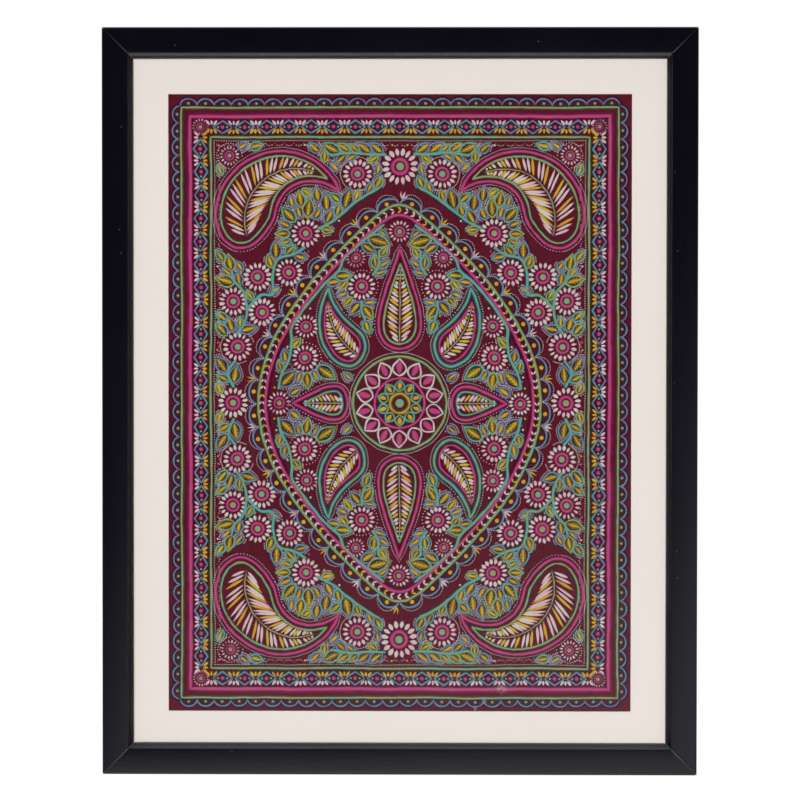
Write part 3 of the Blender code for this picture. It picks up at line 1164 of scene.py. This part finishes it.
studio = {
    "floorDrop": 0.75,          # floor below the frame's lower edge, as under a hung picture
    "floorSize": 5.6,
    "lights": [                 # too near the lens to be let into the glass's reflections
        {"name": "frontSoftbox", "at": (0.0, -2.4, -0.25), "size": 0.4, "power": 52.9},
        {"name": "leftSoftbox", "at": (-1.75, -1.75, 0.10), "size": 1.0, "power": 2.2},
        {"name": "rightSoftbox", "at": (1.75, -1.75, 0.10), "size": 1.0, "power": 2.2},
    ],
    "camera": {"at": (0.0097, -1.2568, -0.2212), "turn": (89.198, -0.052, 0.438), "lens": 85.0},
    "roomTint": (0.96, 0.95, 1.06),
}
roomGlow = {                    # how bright each part of the room is in the rails and the glass
    "dark": 0.02,
    "low": 0.88,
    "upper": 0.5,
    "ceiling": 1.1,
    "sides": 0.3,
    "behind": 0.9,
    "heldBack": 0.85,           # what diffuse light misses of it, in front and behind
    "heldBackBehind": 0.25,
}


def makeFloor():
    choose()
    place = (0.0, 0.0, cadLow.z - studio["floorDrop"])
    bpy.ops.mesh.primitive_plane_add(size=studio["floorSize"], location=place)
    floor = bpy.context.object
    floor.name = "floor"
    floor.visible_diffuse = False   # it sends no light up behind the rabbet's lip
    graph = newGraph("paleFloor")
    spot = graph.place()
    colour = graph.blend(graph.grain(spot, 3.0, 3.0), (0.90, 0.90, 0.90), (0.95, 0.95, 0.95))
    floor.data.materials.append(graph.surface(colour, 0.8))


def makeWorld():  # white where the camera sees it; the rails and the glass reflect a dim room
    world = bpy.data.worlds.new("studio")
    bpy.context.scene.world = world
    graph = Graph(world)
    graph.tree.nodes.clear()
    way = graph.add("ShaderNodeTexCoord", out="Generated")
    x, y, z = (graph.axis(way, letter) for letter in "XYZ")
    low = graph.step(x * 0.25 - z * 0.9, 0.02, 0.26)
    low = low * (1 - graph.step(graph.size(x), 0.40, 0.75))
    diffuse = graph.add("ShaderNodeLightPath", out="Is Diffuse Ray")
    glow = roomGlow["dark"] + low * roomGlow["low"]
    glow = glow + graph.step(z, 0.75, 0.95) * roomGlow["ceiling"]
    glow = glow + graph.step(z, 0.42, 0.80) * roomGlow["upper"]
    glow = glow + graph.step(graph.size(x), 0.7, 0.95) * roomGlow["sides"]
    glow = glow * (1 - roomGlow["heldBack"] * diffuse)
    behind = roomGlow["behind"] - roomGlow["heldBackBehind"] * diffuse
    glow = glow + graph.step(y, 0.2, 0.7) * behind
    lit = graph.add("ShaderNodeBackground", inputs={"Color": studio["roomTint"], "Strength": glow})
    seen = graph.add("ShaderNodeBackground", inputs={"Color": (1.0, 1.0, 1.0), "Strength": 1.0})
    direct = graph.add("ShaderNodeLightPath", out="Is Camera Ray")
    both = graph.add("ShaderNodeMixShader", inputs={0: direct, 1: lit, 2: seen})
    output = graph.tree.nodes.new("ShaderNodeOutputWorld")
    graph.tree.links.new(both.socket, output.inputs["Surface"])


def makeLights():
    middle = Vector((0.0, 0.0, panels["middle"]))
    for row in studio["lights"]:
        lamp = bpy.data.lights.new(row["name"], "AREA")
        lamp.size = row["size"]
        lamp.energy = row["power"]
        light = newObject(row["name"], lamp)
        light.location = row["at"]
        light.visible_camera = False
        light.visible_glossy = False
        light.rotation_euler = (middle - light.location).to_track_quat("-Z", "Y").to_euler()


def makeCamera():
    settings = studio["camera"]
    lens = bpy.data.cameras.new("camera")
    lens.lens = settings["lens"]
    camera = newObject("camera", lens)
    camera.location = settings["at"]
    camera.rotation_euler = [math.radians(turn) for turn in settings["turn"]]
    bpy.context.scene.camera = camera


def dressNodes():
    lacquered = lacquerMaterial()
    finishes = {"glass_pane": glassMaterial(), "window_mat": boardMaterial(),
                "backing_board": backingMaterial()}
    for name in ("rail_top", "rail_bottom", "rail_left", "rail_right"):
        finishes[name] = lacquered
    for name, material in finishes.items():
        finish(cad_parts[name], material)


makeCamera()
makeWorld()
makeLights()
makeFloor()
print("studio ready")
dressNodes()
makeJoints()
print("CAD nodes dressed, mitres glued")
drawBorder()
drawMedallion()
planQuarter()
mirrored(drawQuarter)
print("design drawn:", len(plan["leaves"]), "leaves and", len(plan["dots"]), "dots in a quarter")
paintPieces = makePaint()
wovenCloth = makeCloth()
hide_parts("painted_cloth")
print("cloth and paint ready")
bpy.context.scene.view_settings.view_transform = "Standard"
